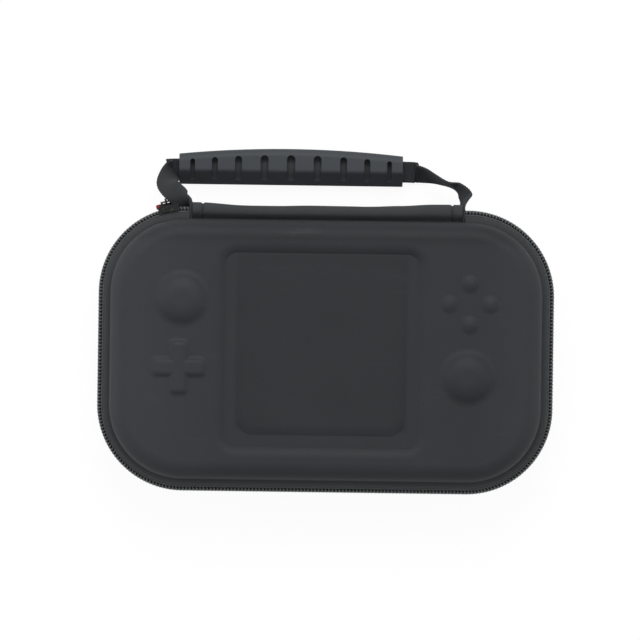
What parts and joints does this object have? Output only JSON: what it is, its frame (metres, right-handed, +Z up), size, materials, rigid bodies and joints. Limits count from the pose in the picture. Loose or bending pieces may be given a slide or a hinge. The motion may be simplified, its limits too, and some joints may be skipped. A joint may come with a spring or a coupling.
{
  "type": "portable game console case",
  "caption": "Zipped hard case for a handheld game console, with a moulded lid, fabric hinge, foam cradle, mesh pocket and a webbing handle with a rubber grip.",
  "frame": {"origin": "centre of the case's flat bottom, on the floor, with the handle left out", "axes": "+X along the fabric hinge, +Y from the zip's front to the hinge, +Z up out of the lid"},
  "size_m": [0.19, 0.1434, 0.0492],
  "materials": {
    "shell_skin": "matte pressed skin on moulded foam",
    "spine_fabric": "fine woven",
    "lining": "brushed knit",
    "zip_tape": "twill tape",
    "zip_coil": "satin",
    "binding": "ribbed tape",
    "foam": "knit over foam",
    "mesh": "open net",
    "slider_metal": "dark plated",
    "red_rubber": "matte",
    "grip_rubber": "satin moulded",
    "webbing": "flat ribbed webbing"
  },
  "bodies": {
    "base": {"base_shell": "shell_skin", "spine_panel": "spine_fabric", "spine_lining": "lining", "base_zip_tape": "zip_tape", "base_zip_coil": "zip_coil", "zip_end_tapes": "zip_tape", "zip_end_coils": "zip_coil", "base_binding": "binding", "foam_cradle": "foam"},
    "lid": {"lid_shell": "shell_skin", "lid_zip_tape": "zip_tape", "lid_zip_coil": "zip_coil", "lid_binding": "binding", "mesh_pocket": "mesh", "pocket_hem": "binding"},
    "slider": {"slider_body": "slider_metal", "slider_bail": "slider_metal"},
    "pull": {"pull_link": "slider_metal", "pull_tip": "red_rubber"},
    "handle": {"handle_grip": "grip_rubber", "handle_webbing": "webbing"}
  },
  "joints": [
    {"name": "lid_hinge", "type": "hinge", "parent": "base", "child": "lid", "pos_m": [0, 0.0596, 0.0245], "axis": [-1, 0, 0], "range_deg": [0, 100]},
    {"name": "handle_swing", "type": "hinge", "parent": "base", "child": "handle", "pos_m": [0, 0.0575, 0.0245], "axis": [1, 0, 0], "range_deg": [0, 35]},
    {"name": "slider_run", "type": "hinge", "parent": "base", "child": "slider", "pos_m": [-0.059, 0.02325, 0.0245], "axis": [0, 0, 1], "range_deg": [0, 66]},
    {"name": "pull_swing", "type": "hinge", "parent": "slider", "child": "pull", "pos_m": [-0.06743, 0.0611, 0.0245], "axis": [-0.2174, 0.9761, 0], "range_deg": [0, 45]}
  ]
}
